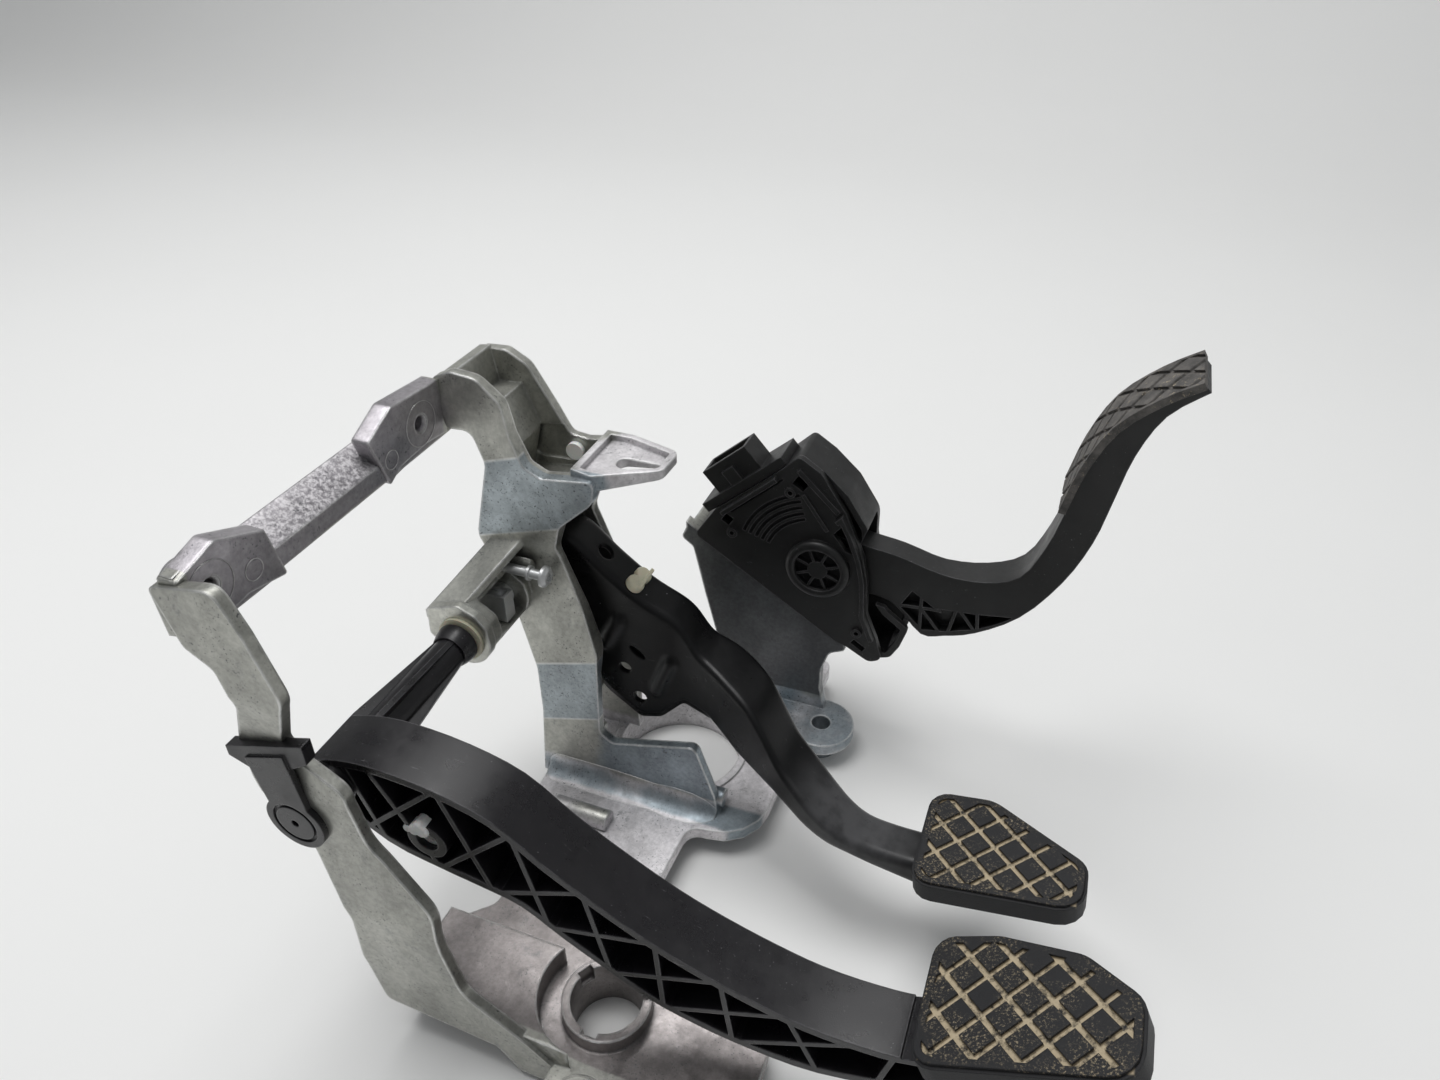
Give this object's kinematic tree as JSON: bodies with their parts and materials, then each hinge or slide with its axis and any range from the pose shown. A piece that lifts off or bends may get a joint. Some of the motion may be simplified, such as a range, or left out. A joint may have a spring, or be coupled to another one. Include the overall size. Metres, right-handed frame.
{
  "type": "car pedal box",
  "caption": "Die-cast pedal bracket with a ribbed plastic clutch pedal, a cranked pressed-steel brake pedal and an electronic accelerator with a curved arm.",
  "frame": {"origin": "centre of the servo opening, on the plane where the base meets the firewall", "axes": "+Z away from the firewall towards the driver, +X down in the car towards the pads, +Y towards the accelerator's side"},
  "size_m": [0.3475, 0.312, 0.2597],
  "materials": {
    "casting": "raw die-cast, satin with mottled patches",
    "clutch_plastic": "glass-filled plastic, satin",
    "pad_rubber": "matte, dusty in the grooves",
    "steel": "bright steel",
    "bush": "cream sliding plastic",
    "clip_black": "matte",
    "white_plastic": "matte",
    "brake_coat": "black dip coat, semi-gloss",
    "zinc": "zinc-plated",
    "housing_black": "matte grain",
    "contact": "tinned brass",
    "board": "green board",
    "magnet": "sintered, dark"
  },
  "bodies": {
    "bracket": {"bracket_casting": "casting", "clutch_arm_bush": "bush", "clutch_housing_bush": "bush", "pivot_clip": "clip_black", "brake_pivot_pin": "steel", "pin_lock_plate": "zinc", "pin_lock_screw": "zinc", "head_plug": "white_plastic", "accelerator_housing": "housing_black", "accelerator_cover": "housing_black", "accelerator_connector": "housing_black", "connector_pins": "contact", "sensor_board": "board", "accelerator_pin": "steel", "accelerator_screws": "zinc", "return_spring": "steel"},
    "clutch_pedal": {"clutch_pedal_arm": "clutch_plastic", "clutch_pedal_pad": "pad_rubber", "clutch_pivot_pin": "steel", "push_rod_socket": "white_plastic"},
    "brake_pedal": {"brake_pedal_arm": "brake_coat", "brake_hub_tube": "brake_coat", "brake_pedal_pad": "pad_rubber", "brake_bush_near": "bush", "brake_bush_far": "bush", "switch_contact": "bush"},
    "accelerator_pedal": {"accelerator_arm": "housing_black", "accelerator_pad": "pad_rubber", "sensor_magnet": "magnet"}
  },
  "joints": [
    {"name": "clutch_hinge", "type": "hinge", "parent": "bracket", "child": "clutch_pedal", "pos_m": [-0.076, -0.15, 0.135], "axis": [0, 1, 0], "range_deg": [-30, 0]},
    {"name": "brake_hinge", "type": "hinge", "parent": "bracket", "child": "brake_pedal", "pos_m": [-0.076, -0.012, 0.135], "axis": [0, 1, 0], "range_deg": [-30, 0]},
    {"name": "accelerator_hinge", "type": "hinge", "parent": "bracket", "child": "accelerator_pedal", "pos_m": [0.05938, 0.067, 0.12274], "axis": [0, 1, 0], "range_deg": [0, 16], "stiffness_Nm_per_rad": 6, "springref_deg": -14.32, "deforming": ["return_spring"]}
  ]
}
